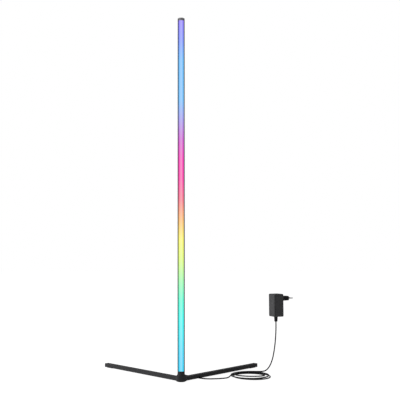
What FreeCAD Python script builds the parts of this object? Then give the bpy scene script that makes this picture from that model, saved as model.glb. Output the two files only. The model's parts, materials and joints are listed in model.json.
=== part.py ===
import FreeCAD, Part
import math
import os

# Corner floor lamp: a slim round light pole on a small flared hub, with two
# flat legs that spread at a right angle, and a low-voltage lead to a plug-in
# power adapter. Millimetres. The origin is on the floor under the pole's
# axis, +Z up. The light opens towards -Y, the legs run back towards +Y.

Vector = FreeCAD.Vector

# ---------------------------------------------------------------- sizes

# whole lamp
lamp_height = 1400.0
running_gap = 0.1           # between rigid pieces that slide into each other
seat_gap = 0.15             # between a plug and the hollow it is pushed into
thread_gap = 0.05           # round the shank of a screw or a pin in its hole
solder_gap = 0.05           # between a round wire and the board it lies on

# light pole: a C-shaped extrusion with a snap-in diffuser
pole_radius = 13.6
pole_wall = 1.6
light_half_width = 10.0     # half of the open front of the extrusion
web_wall = 1.6
web_front = 0.0             # Y of the face that carries the lights
rail_wall = 1.0             # ribs that hold the diffuser's snap legs
diffuser_wall = 1.3
snap_leg_wall = 1.1
snap_leg_depth = 5.0
snap_barb = 0.5

# strip of lights
strip_width = 10.0
strip_thick = 0.4
strip_end_margin = 4.0      # bare pole at each end of the strip
light_size = 5.0
light_thick = 1.6
light_pitch = 33.3

# cap on top of the pole
cap_height = 11.0
cap_edge_round = 1.6
cap_tongue_length = 16.0

# hub under the pole
hub_radius = 21.0
hub_height = 39.0
hub_edge_round = 4.0
hub_flank_top = 19.0        # where the straight flank ends and the flare starts
hub_collar_bottom = 32.0    # where the flare ends in the collar
pad_thick = 1.5
hub_pad_radius = 15.0
cover_radius = 17.5
cover_thick = 2.0

# legs
leg_angle = 45.0            # each side of +Y
leg_reach = 447.0           # from the pole's axis to the end of the end cap
leg_root = 19.5             # flat seat of the leg against the hub
leg_width = 20.0
leg_height = 15.0
leg_wall = 1.5
leg_edge_round = 1.6
leg_inner_round = 0.7
leg_seat_gap = 0.2          # round the leg in the flat seat of the hub
spigot_root = 4.0           # how far an arm reaches back into the hub
spigot_length = 34.0
end_flange = 3.0
end_flange_round = 1.0
end_tongue_length = 14.0
end_tongue_wall = 2.0
leg_pad_width = 14.0
leg_pad_length = 34.0
leg_pad_inset = 12.0
notch_width = 16.0          # cut under the right leg that lets the lead through
notch_height = 6.0
notch_reach = 88.5

# screws
drill_depth = 1.0           # how far each hole runs past its screw
cross_share = 0.6           # arm of the cross slot, of the head's radius
cross_half_width = 0.35
cross_depth = 0.7
hex_socket_radius = 1.7
hex_socket_depth = 1.8
screw_head_gap = 0.3
leg_screw_radius = 2.0
leg_screw_head_radius = 3.4
leg_screw_length = 8.0
leg_screw_places = (11.0, 25.0)     # from the leg's seat
pole_screw_radius = 2.0
pole_screw_head_radius = 3.6
pole_screw_head_height = 3.0
pole_screw_seat = 20.0
pole_screw_grip = 14.0      # into the insert
pole_screw_x = 6.6
pole_screw_y = 5.0
cover_screw_radius = 1.5
cover_screw_head_radius = 2.7
cover_screw_length = 9.0
cover_screw_x = 11.5
cover_screw_y = -7.5

# insert in the foot of the pole
insert_height = 28.0
insert_drill_past = 2.0

# controller board behind the web
board_width = 16.0
board_height = 60.0
board_thick = 1.2
board_bottom = 74.0
tape_width = 9.0
tape_thick = 0.8
chip_size = 5.0
chip_thick = 1.5
chip_count = 4
chip_pitch = 12.0

# wires inside the lamp
wire_radius = 0.65
wire_spacing = 1.8
wire_duct_radius = 2.1
strip_wire_radius = 0.4
strip_wire_pitch = 1.3
strip_wire_count = 4
strip_wire_x = 6.9
strip_slot_width = 2.4
strip_wires_up = 3.0        # lowest wire's place above the board's lower edge
strip_pad_inset = 1.5       # end of each wire from the strip's edge
supply_overlap = 5.0        # length of the supply wires that lies on the board
supply_corner = 6.0

# power inlet at the back of the hub
jack_width = 9.0
jack_height = 11.0
jack_length = 10.4
jack_bottom = 5.6
jack_face = 20.3            # Y of its open face
jack_bore_radius = 3.0
jack_bore_depth = 8.9
jack_pin_radius = 1.0
jack_pin_length = 7.5
jack_wire_room = 2.0        # above and below the wires, behind the inlet

# plug of the lead
barrel_radius = 2.75
barrel_bore_radius = 1.25
barrel_length = 8.5
plug_radius = 4.8
plug_length = 19.0
plug_edge_round = 1.0
plug_play = 0.3             # between the plug and the face of the inlet
grip_first = 7.0
grip_pitch = 3.0
grip_count = 3
grip_depth = 0.5
grip_width = 1.8
grip_tail = 2.0
boot_start_radius = 3.7
boot_end_radius = 2.9
boot_length = 12.0
boot_rings = 4
boot_ring_share = 0.63
boot_ring_depth = 0.3

# lead
cord_radius = 2.4
floor_gap = 0.15
arc_share = 0.45            # of the shorter run beside a point

# coil of the lead on the floor, beside the right leg
coil_centre_x = 273.0
coil_centre_y = 77.0
coil_half_width = 84.0
coil_half_depth = 88.0
coil_inner_half_width = 56.0
coil_inner_half_depth = 40.0
coil_inner_left = 4.0       # how far the smallest turn lies to the left of the largest
coil_inner_back = 34.0      # and how far behind it
coil_start_angle = 165.0
coil_end_angle = 90.0
coil_whole_turns = 3
coil_layer_gap = 0.7

# adapter, turned about the vertical
adapter_x = 381.5
adapter_y = 146.0
adapter_bottom = 228.0
adapter_turn = 22.5
case_length = 44.0          # along the direction of the plug
case_width = 47.0
case_height = 90.0
case_wall = 2.2
case_corner_round = 5.5
case_edge_round = 4.5
case_seam = 10.0            # local X of the joint between the two halves
case_lip_wall = 1.0
case_lip_depth = 2.5
case_groove_x = -17.8       # shadow groove round the back half
case_groove_width = 1.2
case_groove_depth = 0.8
adapter_boot_x = -2.0
adapter_boot_length = 21.0
adapter_boot_top_radius = 7.8
adapter_boot_shoulder_radius = 6.6
adapter_boot_shoulder = 5.5     # height of the round shoulder at the cord
adapter_boot_low_radius = 3.0
adapter_rings = 3
adapter_ring_first = 7.0
adapter_ring_pitch = 3.8
adapter_ring_depth = 0.5

# plug of the adapter: two round pins of the common 4 mm kind
plug_block_length = 30.0
plug_block_width = 35.0
plug_block_height = 19.0
plug_nose_width = 31.0
plug_nose_height = 17.5
plug_block_round = 5.0
plug_nose_edge = 3.0        # rounding of the nose's end
plug_below_top = 18.0
pin_radius = 2.0
pin_length = 20.0
pin_root = 9.0
pin_root_radius = 1.8
pin_spacing = 19.0

# inside the adapter
adapter_board_height = 74.0
adapter_board_thick = 1.6
adapter_board_x = -14.0
coil_core_size = (17.0, 26.0, 22.0)
coil_core_above = 22.0      # above the board's lower edge
coil_core_frame = 3.0
capacitor_radius = 5.0
capacitor_length = 16.0
capacitor_spacing = 14.0
capacitor_above = 60.0

# ---------------------------------------------------------------- derived

cord_diameter = 2 * cord_radius
pole_bottom = hub_height
pole_top = lamp_height - cap_height
pole_bore = pole_radius - pole_wall
web_back = web_front + web_wall
leg_bottom = pad_thick
leg_top = leg_bottom + leg_height
leg_middle = leg_bottom + leg_height / 2
jack_axis_z = jack_bottom + jack_height / 2
plug_start = jack_face + plug_play
boot_start = plug_start + plug_length
boot_end = boot_start + boot_length
board_front = web_back + tape_thick
board_back = board_front + board_thick
wire_y = board_back + wire_radius + solder_gap
jack_back = jack_face - jack_length
leg_sides = (90 - leg_angle, 90 + leg_angle)
adapter_top = adapter_bottom + case_height
plug_axis_z = adapter_top - plug_below_top
floor_z = cord_radius + floor_gap
layer_rise = cord_diameter + coil_layer_gap
upper_z = floor_z + layer_rise

# Points of the lead between its plug and the coil, and between the coil and
# the adapter, as the photographed lead lies. Every run is bent towards the
# next one by an arc, so the lead passes just inside each point.
run_points = [
    Vector(0.0, boot_end, jack_axis_z),
    Vector(0.0, boot_end + 13.0, jack_axis_z),
    Vector(6.0, boot_end + 25.4, jack_axis_z - 1.4),
    Vector(17.0, boot_end + 33.4, 7.4),
    Vector(30.8, boot_end + 35.0, 4.6),
    Vector(43.6, boot_end + 29.6, floor_z + 0.3),
    Vector(55.8, 68.9, floor_z),
    Vector(68.2, 57.3, floor_z),
    Vector(80.5, 46.8, floor_z),
    Vector(94.5, 39.6, floor_z),
    Vector(110.5, 37.0, floor_z),
    Vector(128.0, 39.4, floor_z),
    Vector(145.5, 43.0, floor_z),
    Vector(162.0, 50.0, floor_z),
    Vector(174.5, 56.5, floor_z),
    Vector(182.5, 67.5, floor_z),
]
run_last = 13.0             # last run, square to the start of the coil
rise_first = 13.0           # first run, square to the end of the coil
rise_last = 22.0            # last run, square to the adapter's strain relief
rise_points = [
    Vector(309.0, 165.0, 7.7),
    Vector(326.0, 161.0, 8.6),
    Vector(339.5, 155.5, 13.5),
    Vector(350.0, 150.5, 26.0),
    Vector(358.0, 147.2, 42.0),
    Vector(363.8, 146.0, 58.5),
    Vector(368.5, 145.4, 78.0),
    Vector(373.0, 145.5, 104.0),
    Vector(376.5, 145.2, 132.0),
    Vector(378.6, 145.4, 160.0),
]

# ---------------------------------------------------------------- helpers


def box(x0, x1, y0, y1, z0, z1):
    return Part.makeBox(x1 - x0, y1 - y0, z1 - z0, Vector(x0, y0, z0))


def rod(radius, z0, z1, x=0.0, y=0.0):
    return Part.makeCylinder(radius, z1 - z0, Vector(x, y, z0))


def turned(shape, degrees):
    copy = shape.copy()
    copy.rotate(Vector(0, 0, 0), Vector(0, 0, 1), degrees)
    return copy


def moved(shape, x, y, z):
    copy = shape.copy()
    copy.translate(Vector(x, y, z))
    return copy


def group(solids):
    return Part.makeCompound(solids)


def export(name, shape):
    """Writes one piece, and says how many solids it holds and how big it is."""
    if not shape.isValid():
        raise ValueError(name + " is not a valid shape")
    shape.exportStep("parts/" + name + ".step")
    print("%-22s solids %2d  volume %10.1f" % (name, len(shape.Solids), shape.Volume))


def rounded_wire(width, height, radius, place):
    """A rectangle with round corners, width along Y and height along Z, at X."""
    half_w = width / 2 - radius
    half_h = height / 2 - radius
    corners = [(half_w, -half_h, -90), (half_w, half_h, 0),
               (-half_w, half_h, 90), (-half_w, -half_h, 180)]
    arcs = []
    for y, z, start in corners:
        points = []
        for degrees in (start, start + 45, start + 90):
            a = math.radians(degrees)
            points.append(place + Vector(0, y + radius * math.cos(a), z + radius * math.sin(a)))
        arcs.append(points)
    edges = []
    for i in range(4):
        first, middle, last = arcs[i]
        edges.append(Part.Arc(first, middle, last).toShape())
        edges.append(Part.makeLine(last, arcs[(i + 1) % 4][0]))
    return Part.Wire(edges)


def rounded_bar(width, height, radius, x0, x1, z_middle):
    """A bar along +X with round long edges."""
    wire = rounded_wire(width, height, radius, Vector(x0, 0, z_middle))
    return Part.Face(wire).extrude(Vector(x1 - x0, 0, 0))


def spun(points, place, axis):
    """A solid turned from its half outline, given as (radius, distance along)."""
    side = Vector(1, 0, 0)
    outline = [place + side * r + axis * h for r, h in points]
    face = Part.Face(Part.makePolygon(outline + [outline[0]]))
    return face.revolve(place, axis, 360)


def tangent_arc(start, direction, end):
    """The middle point and radius of the arc that leaves start in a direction and reaches end."""
    chord = end - start
    across = direction.cross(chord).cross(direction)
    across.normalize()
    radius = chord.dot(chord) / (2 * chord.dot(across))
    centre = start + across * radius
    middle = centre + (start - centre + end - centre).normalize() * radius
    return middle, radius


def sweep_round(edges, radius, start, direction):
    """A round tube along the edges, checked by its section times its length."""
    circle = Part.Wire(Part.makeCircle(radius, start, direction))
    path = Part.Wire(edges)
    tube = path.makePipeShell([circle], True, False)
    ratio = tube.Volume / (math.pi * radius ** 2 * path.Length)
    return tube, path.Length, ratio


def bent_tube(name, points, radius):
    """A tube of straight runs, with an arc at every point between two runs."""
    edges = []
    radii = []
    last = points[0]
    for before, here, after in zip(points, points[1:], points[2:]):
        back = before - here
        ahead = after - here
        turn = math.pi - back.getAngle(ahead)
        shorter = min(back.Length, ahead.Length)
        step = arc_share * shorter
        radii.append(step / math.tan(turn / 2))
        start = here + back.normalize() * step
        end = here + ahead.normalize() * step
        edges.append(Part.makeLine(last, start))
        middle = tangent_arc(start, here - start, end)[0]
        edges.append(Part.Arc(start, middle, end).toShape())
        last = end
    edges.append(Part.makeLine(last, points[-1]))
    tube, length, ratio = sweep_round(edges, radius, points[0], points[1] - points[0])
    print("%-22s length %.1f  least radius %.1f  volume ratio %.4f"
          % (name, length, min(radii), ratio))
    print("   radii " + " ".join("%.0f" % r for r in radii))
    return tube


# ---------------------------------------------------------------- light pole


def pole_profile():
    """A round extrusion, open in front, with a web for the lights and two rails."""
    height = pole_top - pole_bottom
    ring = rod(pole_radius, 0, height).cut(rod(pole_bore, 0, height))
    opening = box(-light_half_width, light_half_width, -pole_radius, web_front, 0, height)
    reach = light_half_width + rail_wall
    web = box(-pole_radius, pole_radius, web_front, web_back, 0, height)
    rails = []
    for side in (-1, 1):
        x0, x1 = sorted((side * light_half_width, side * reach))
        top = -math.sqrt(pole_bore ** 2 - light_half_width ** 2)
        rails.append(box(x0, x1, top - rail_wall, web_front, 0, height))
    inside = rod(pole_radius - pole_wall / 2, 0, height)
    profile = ring.cut(opening)
    for piece in [web] + rails:
        profile = profile.fuse(piece.common(inside))
    slot = box(strip_wire_x - strip_slot_width / 2, strip_wire_x + strip_slot_width / 2,
               web_front - 1, web_back + 1,
               board_bottom + strip_wires_up - 1 - pole_bottom,
               board_bottom + strip_wires_up + 1 + strip_wire_count * strip_wire_pitch - pole_bottom)
    profile = profile.cut(slot).removeSplitter()
    return moved(profile, 0, 0, pole_bottom)


def diffuser():
    """A milky strip, round in front, with two snap legs behind its edges."""
    height = pole_top - pole_bottom
    half = light_half_width - running_gap
    outer = rod(pole_radius, 0, height)
    shell = outer.cut(rod(pole_radius - diffuser_wall, 0, height))
    shell = shell.common(box(-half, half, -pole_radius, -pole_radius / 2, 0, height))
    edge = -math.sqrt(pole_radius ** 2 - half ** 2)
    legs = []
    for side in (-1, 1):
        x0, x1 = sorted((side * half, side * (half - snap_leg_wall)))
        leg = box(x0, x1, edge - diffuser_wall, edge + snap_leg_depth, 0, height)
        legs.append(leg.common(outer))
        b0, b1 = sorted((side * (half - snap_leg_wall), side * (half - snap_leg_wall - snap_barb)))
        legs.append(box(b0, b1, edge + snap_leg_depth - 1, edge + snap_leg_depth, 0, height))
    return moved(shell.multiFuse(legs).removeSplitter(), 0, 0, pole_bottom)


def hollow_behind_web(z0, z1, gap):
    """The D-shaped space behind the web, drawn in by a gap all round."""
    core = rod(pole_bore - gap, z0, z1)
    return core.common(box(-pole_radius, pole_radius, web_back + gap, pole_radius, z0, z1))


def top_cap():
    """A flat round cap with a soft edge and a tongue down into the hollow."""
    disc = rod(pole_radius, pole_top, lamp_height)
    rim = [e for e in disc.Edges if abs(e.BoundBox.ZMin - lamp_height) < 0.01
           and e.BoundBox.ZLength < 0.01]
    disc = disc.makeFillet(cap_edge_round, rim)
    return disc.fuse(hollow_behind_web(pole_top - cap_tongue_length, pole_top, seat_gap))


def light_strip():
    half = strip_width / 2
    return box(-half, half, web_front - strip_thick, web_front,
               pole_bottom + strip_end_margin, pole_top - strip_end_margin)


def lights():
    """Square lights at an even pitch, as many as the strip has room for."""
    low = pole_bottom + strip_end_margin
    high = pole_top - strip_end_margin
    count = int((high - low) / light_pitch)
    first = (low + high) / 2 - (count - 1) * light_pitch / 2
    half = light_size / 2
    back = web_front - strip_thick
    solids = []
    for i in range(count):
        z = first + i * light_pitch
        solids.append(box(-half, half, back - light_thick, back, z - half, z + half))
    print("lights on the strip: %d" % count)
    return group(solids)


def pole_insert():
    """The block in the pole's foot that the two long screws pull down."""
    block = hollow_behind_web(pole_bottom, pole_bottom + insert_height, seat_gap)
    for side in (-1, 1):
        block = block.cut(rod(pole_screw_radius + thread_gap, pole_bottom,
                              pole_bottom + pole_screw_grip + insert_drill_past,
                              side * pole_screw_x, pole_screw_y))
    return block.cut(rod(wire_duct_radius, pole_bottom, pole_bottom + insert_height, 0, wire_y))


# ---------------------------------------------------------------- hub


def hub_blank():
    """The outer form: rounded foot, straight flank, hollow flare and collar."""
    spread = hub_radius - pole_radius
    drop = hub_collar_bottom - hub_flank_top
    flare = (spread ** 2 + drop ** 2) / (2 * spread)
    centre = Vector(pole_radius + flare, 0, hub_collar_bottom)
    low = Vector(hub_radius, 0, hub_flank_top)
    high = Vector(pole_radius, 0, hub_collar_bottom)
    middle = centre + ((low - centre) + (high - centre)).normalize() * flare
    round_centre = Vector(hub_radius - hub_edge_round, 0, pad_thick + hub_edge_round)
    slant = hub_edge_round * math.sqrt(0.5)
    foot = Vector(hub_radius - hub_edge_round, 0, pad_thick)
    side = Vector(hub_radius, 0, pad_thick + hub_edge_round)
    top = Vector(pole_radius, 0, hub_height)
    edges = [
        Part.makeLine(Vector(0, 0, pad_thick), foot),
        Part.Arc(foot, round_centre + Vector(slant, 0, -slant), side).toShape(),
        Part.makeLine(side, low),
        Part.Arc(low, middle, high).toShape(),
        Part.makeLine(high, top),
        Part.makeLine(top, Vector(0, 0, hub_height)),
        Part.makeLine(Vector(0, 0, hub_height), Vector(0, 0, pad_thick)),
    ]
    return Part.Face(Part.Wire(edges)).revolve(Vector(0, 0, 0), Vector(0, 0, 1), 360)


def leg_spigot():
    """The arm of the hub that fills the root of a leg, along +X."""
    width = leg_width - 2 * leg_wall - 2 * seat_gap
    height = leg_height - 2 * leg_wall - 2 * seat_gap
    bar = rounded_bar(width, height, leg_inner_round, leg_root - spigot_root,
                      leg_root + spigot_length, leg_middle)
    for place in leg_screw_places:
        x = leg_root + place
        bar = bar.cut(rod(leg_screw_radius + thread_gap, 0,
                          leg_bottom + leg_screw_length + drill_depth, x, 0))
    return bar


def hub():
    body = hub_blank()
    half = leg_width / 2 + leg_seat_gap
    seat = box(leg_root, leg_root + hub_radius, -half, half, 0, leg_top + leg_seat_gap)
    for angle in leg_sides:
        body = body.cut(turned(seat, angle))
        body = body.fuse(turned(leg_spigot(), angle))
    body = body.cut(rod(cover_radius + running_gap, 0, pad_thick + cover_thick))
    for side in (-1, 1):
        x = side * pole_screw_x
        body = body.cut(rod(pole_screw_radius + running_gap, 0, hub_height + 1, x, pole_screw_y))
        body = body.cut(rod(pole_screw_head_radius + screw_head_gap, 0, pole_screw_seat,
                            x, pole_screw_y))
        x = side * cover_screw_x
        body = body.cut(rod(cover_screw_radius + thread_gap, 0,
                            pad_thick + cover_screw_length + drill_depth, x, cover_screw_y))
    half = jack_width / 2 + running_gap
    body = body.cut(box(-half, half, jack_back - running_gap, hub_radius + 1,
                        jack_bottom - running_gap, jack_bottom + jack_height + running_gap))
    low = jack_axis_z - jack_wire_room
    body = body.cut(box(-wire_duct_radius, wire_duct_radius, wire_y - wire_duct_radius / 2,
                        jack_back, low, jack_axis_z + jack_wire_room))
    body = body.cut(rod(wire_duct_radius, low, hub_height + 1, 0, wire_y))
    return body.removeSplitter()


def base_cover():
    """The round plate that closes the hub from below."""
    plate = rod(cover_radius, pad_thick, pad_thick + cover_thick)
    for side in (-1, 1):
        x = side * cover_screw_x
        plate = plate.cut(rod(cover_screw_radius + running_gap, 0, hub_height, x, cover_screw_y))
        plate = plate.cut(countersink(cover_screw_head_radius + running_gap,
                                      cover_screw_radius + running_gap,
                                      pad_thick, x, cover_screw_y))
    return plate


def countersink(wide, narrow, z, x, y):
    return Part.makeCone(wide, narrow, wide - narrow, Vector(x, y, z))


def flat_screw(head_radius, radius, length, z, x, y):
    """A countersunk screw that goes up from its flat head, with a cross slot."""
    screw = countersink(head_radius, radius, z, x, y)
    screw = screw.fuse(rod(radius, z, z + length, x, y))
    arm = head_radius * cross_share
    half = cross_half_width
    screw = screw.cut(box(x - arm, x + arm, y - half, y + half, z - 1, z + cross_depth))
    return screw.cut(box(x - half, x + half, y - arm, y + arm, z - 1, z + cross_depth))


def cover_screws():
    return group([flat_screw(cover_screw_head_radius, cover_screw_radius, cover_screw_length,
                             pad_thick, side * cover_screw_x, cover_screw_y)
                  for side in (-1, 1)])


def hex_socket():
    corners = []
    for i in range(7):
        a = math.radians(60 * i)
        corners.append(Vector(math.cos(a), math.sin(a), 0) * hex_socket_radius)
    return Part.Face(Part.makePolygon(corners)).extrude(Vector(0, 0, hex_socket_depth))


def pole_screws():
    """Two long screws from the hub up into the insert."""
    screws = []
    for side in (-1, 1):
        x = side * pole_screw_x
        low = pole_screw_seat - pole_screw_head_height
        head = rod(pole_screw_head_radius, low, pole_screw_seat, x, pole_screw_y)
        socket = moved(hex_socket(), x, pole_screw_y, low)
        shank = rod(pole_screw_radius, low, pole_bottom + pole_screw_grip, x, pole_screw_y)
        screws.append(head.fuse(shank).cut(socket))
    return group(screws)


def hub_pad():
    return rod(hub_pad_radius, 0, pad_thick)


# ---------------------------------------------------------------- legs


def leg(notched):
    """A flat tube along +X from its seat on the hub to its end cap."""
    x0 = leg_root
    x1 = leg_reach - end_flange
    tube = rounded_bar(leg_width, leg_height, leg_edge_round, x0, x1, leg_middle)
    tube = tube.cut(rounded_bar(leg_width - 2 * leg_wall, leg_height - 2 * leg_wall,
                                leg_inner_round, x0 - 1, x1 + 1, leg_middle))
    for place in leg_screw_places:
        x = leg_root + place
        tube = tube.cut(rod(leg_screw_radius + running_gap, 0, leg_middle, x, 0))
        tube = tube.cut(countersink(leg_screw_head_radius + running_gap,
                                    leg_screw_radius + running_gap, leg_bottom, x, 0))
    if notched:
        half = notch_width / 2
        tube = tube.cut(box(notch_reach - half, notch_reach + half,
                            -leg_width, leg_width, 0, leg_bottom + notch_height))
    return tube


def leg_screws():
    screws = []
    for angle in leg_sides:
        for place in leg_screw_places:
            screw = flat_screw(leg_screw_head_radius, leg_screw_radius, leg_screw_length,
                               leg_bottom, leg_root + place, 0)
            screws.append(turned(screw, angle))
    return group(screws)


def end_cap():
    """The moulded cap in the far end of a leg, along +X."""
    x0 = leg_reach - end_flange
    flange = rounded_bar(leg_width, leg_height, leg_edge_round, x0, leg_reach, leg_middle)
    rim = [e for e in flange.Edges if abs(e.BoundBox.XMin - leg_reach) < 0.01]
    flange = flange.makeFillet(end_flange_round, rim)
    width = leg_width - 2 * leg_wall - 2 * seat_gap
    height = leg_height - 2 * leg_wall - 2 * seat_gap
    tongue = rounded_bar(width, height, leg_inner_round, x0 - end_tongue_length, x0, leg_middle)
    hollow = rounded_bar(width - 2 * end_tongue_wall, height - 2 * end_tongue_wall,
                         leg_inner_round, x0 - end_tongue_length - 1, x0 - 1, leg_middle)
    return flange.fuse(tongue).cut(hollow)


def leg_pad():
    """A thin rubber pad under the far end of a leg, along +X."""
    x1 = leg_reach - leg_pad_inset
    return box(x1 - leg_pad_length, x1, -leg_pad_width / 2, leg_pad_width / 2, 0, pad_thick)


# ---------------------------------------------------------------- electrics in the lamp


def board_tape():
    half = tape_width / 2
    return box(-half, half, web_back, board_front, board_bottom, board_bottom + board_height)


def controller_board():
    half = board_width / 2
    return box(-half, half, board_front, board_back, board_bottom, board_bottom + board_height)


def board_chips():
    solids = []
    half = chip_size / 2
    for i in range(chip_count):
        z = board_bottom + board_height - chip_size - i * chip_pitch
        solids.append(box(-half, half, board_back, board_back + chip_thick, z - half, z + half))
    return group(solids)


def supply_wires():
    """Two wires from the inlet up the duct to the lower end of the board."""
    wires = []
    high = jack_axis_z + supply_corner
    for side in (-1, 1):
        x = side * wire_spacing / 2
        points = [Vector(x, jack_back, jack_axis_z), Vector(x, wire_y, jack_axis_z),
                  Vector(x, wire_y, high)]
        corner = bent_tube("supply_wire", points, wire_radius)
        straight = rod(wire_radius, high, board_bottom + supply_overlap, x, wire_y)
        wires.append(corner.fuse(straight).removeSplitter())
    return group(wires)


def strip_wires():
    """Four short wires from the board through the web to the strip's pads."""
    wires = []
    front = web_front - strip_thick - strip_wire_radius - solder_gap
    for i in range(strip_wire_count):
        z = board_bottom + strip_wires_up + (i + 0.5) * strip_wire_pitch
        points = [Vector(strip_wire_x, board_front, z), Vector(strip_wire_x, front, z),
                  Vector(strip_width / 2 - strip_pad_inset, front, z)]
        wires.append(bent_tube("strip_wire", points, strip_wire_radius))
    return group(wires)


def power_jack():
    """The inlet: a block with a round bore and a contact pin, open to +Y."""
    half = jack_width / 2
    body = box(-half, half, jack_back, jack_face, jack_bottom, jack_bottom + jack_height)
    bore = Part.makeCylinder(jack_bore_radius, jack_bore_depth + 1,
                             Vector(0, jack_face - jack_bore_depth, jack_axis_z), Vector(0, 1, 0))
    pin = Part.makeCylinder(jack_pin_radius, jack_pin_length,
                            Vector(0, jack_face - jack_bore_depth, jack_axis_z), Vector(0, 1, 0))
    return body.cut(bore).fuse(pin)


# ---------------------------------------------------------------- plug of the lead


def plug_barrel():
    """The metal sleeve that enters the inlet."""
    start = plug_start - barrel_length
    place = Vector(0, start, jack_axis_z)
    sleeve = Part.makeCylinder(barrel_radius, barrel_length, place, Vector(0, 1, 0))
    return sleeve.cut(Part.makeCylinder(barrel_bore_radius, barrel_length - 0.5, place,
                                        Vector(0, 1, 0)))


def plug_grip():
    """The moulded body of the plug, with a soft front edge and grip grooves."""
    place = Vector(0, plug_start, jack_axis_z)
    r = plug_radius
    outline = [(0, 0), (r - plug_edge_round, 0), (r, plug_edge_round)]
    deep = grip_depth
    for i in range(grip_count):
        start = grip_first + i * grip_pitch
        end = start + grip_width
        outline += [(r, start), (r - deep, start + deep), (r - deep, end - deep), (r, end)]
    outline += [(r, plug_length - grip_tail), (boot_start_radius, plug_length), (0, plug_length)]
    return spun(outline, place, Vector(0, 1, 0))


def plug_boot():
    """The tapered strain relief behind the plug, with shallow rings."""
    outline = [(0, 0)]
    pitch = boot_length / boot_rings
    shrink = (boot_start_radius - boot_end_radius) / boot_rings
    slope = running_gap
    for i in range(boot_rings):
        wide = boot_start_radius - i * shrink
        narrow = wide - shrink - boot_ring_depth
        step = (i + boot_ring_share) * pitch
        outline += [(wide, i * pitch), (wide, step), (narrow, step + slope),
                    (narrow, (i + 1) * pitch - slope)]
    outline += [(boot_end_radius, boot_length), (0, boot_length)]
    return spun(outline, Vector(0, boot_start, jack_axis_z), Vector(0, 1, 0))


# ---------------------------------------------------------------- lead

coil_turns = coil_whole_turns + (coil_start_angle - coil_end_angle) / 360.0


def coil_point(turn):
    """The coil's line: clockwise turns that shrink inwards and grow out again.

    It keeps to the floor on the way in, climbs one layer in the half turn
    where it reverses, and lies on the first layer on the way out.
    """
    inward = 1 - abs(1 - 2 * turn / coil_turns)
    half_x = coil_half_width + inward * (coil_inner_half_width - coil_half_width)
    half_y = coil_half_depth + inward * (coil_inner_half_depth - coil_half_depth)
    angle = math.radians(coil_start_angle - 360 * turn)
    climb = min(max((turn - coil_turns / 2) / 0.5 + 0.5, 0), 1)
    rise = climb * climb * (3 - 2 * climb)
    return Vector(coil_centre_x - inward * coil_inner_left + half_x * math.cos(angle),
                  coil_centre_y + inward * coil_inner_back + half_y * math.sin(angle),
                  floor_z + rise * layer_rise)


def coil_direction(turn):
    small = 0.002
    low = max(turn - small, 0)
    high = min(turn + small, coil_turns)
    return (coil_point(high) - coil_point(low)).normalize()


def biarc(p0, t0, p1, t1):
    """Two arcs that leave p0 along t0, meet smoothly and reach p1 along t1."""
    chord = p1 - p0
    both = t0 + t1
    spread = 2 * (1 - t0.dot(t1))
    reach = (-chord.dot(both) + math.sqrt(chord.dot(both) ** 2 + spread * chord.dot(chord))) / spread
    joint = (p0 + p1 + (t0 - t1) * reach) * 0.5
    m0, r0 = tangent_arc(p0, t0, joint)
    m1, r1 = tangent_arc(p1, t1 * -1, joint)
    return [Part.Arc(p0, m0, joint).toShape(), Part.Arc(joint, m1, p1).toShape()], min(r0, r1)


def least_gap(edges, radius):
    """The smallest clear gap between parts of the tube that aren't neighbours."""
    points = []
    for edge in edges:
        points += edge.discretize(max(3, int(edge.Length / 3)))[:-1]
    length = 0.0
    along = [0.0]
    for a, b in zip(points, points[1:]):
        length += (b - a).Length
        along.append(length)
    best = 1e9
    for i in range(len(points)):
        for j in range(i + 1, len(points)):
            if along[j] - along[i] > 16 * radius:
                best = min(best, (points[i] - points[j]).Length)
    return best - 2 * radius


def cord_coil():
    """The loose coil, one unbroken tube with a short straight end at each side."""
    steps = int(round(coil_turns * 4))
    edges = []
    radii = []
    turns = [coil_turns * i / steps for i in range(steps + 1)]
    for a, b in zip(turns, turns[1:]):
        pair, radius = biarc(coil_point(a), coil_direction(a), coil_point(b), coil_direction(b))
        edges += pair
        radii.append(radius)
    first = coil_point(0) - coil_direction(0) * cord_diameter
    last = coil_point(coil_turns) + coil_direction(coil_turns) * cord_diameter
    start = Part.makeLine(first, coil_point(0))
    finish = Part.makeLine(coil_point(coil_turns), last)
    tube, length, ratio = sweep_round([start] + edges + [finish], cord_radius,
                                      first, coil_direction(0))
    print("%-22s length %.1f  least radius %.1f  least gap %.2f  volume ratio %.4f"
          % ("cord_coil", length, min(radii), least_gap(edges, cord_radius), ratio))
    return tube


def cord_run():
    """The lead from its plug, under the right leg, to the coil."""
    end = coil_point(0) - coil_direction(0) * cord_diameter
    before = end - coil_direction(0) * run_last
    return bent_tube("cord_run", run_points + [before, end], cord_radius)


def cord_rise():
    """The lead from the coil up to the adapter."""
    start = coil_point(coil_turns) + coil_direction(coil_turns) * cord_diameter
    end = on_adapter(Vector(adapter_boot_x, 0, adapter_bottom - adapter_boot_length))
    first = start + coil_direction(coil_turns) * rise_first
    last = end - Vector(0, 0, rise_last)
    return bent_tube("cord_rise", [start, first] + rise_points + [last, end], cord_radius)


# ---------------------------------------------------------------- adapter
# The adapter is drawn with its plug along +X and its middle on the axis,
# then turned and moved to its place.


def on_adapter(point):
    a = math.radians(adapter_turn)
    return Vector(adapter_x + point.x * math.cos(a) - point.y * math.sin(a),
                  adapter_y + point.x * math.sin(a) + point.y * math.cos(a), point.z)


def placed(shape):
    return moved(turned(shape, adapter_turn), adapter_x, adapter_y, 0)


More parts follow.
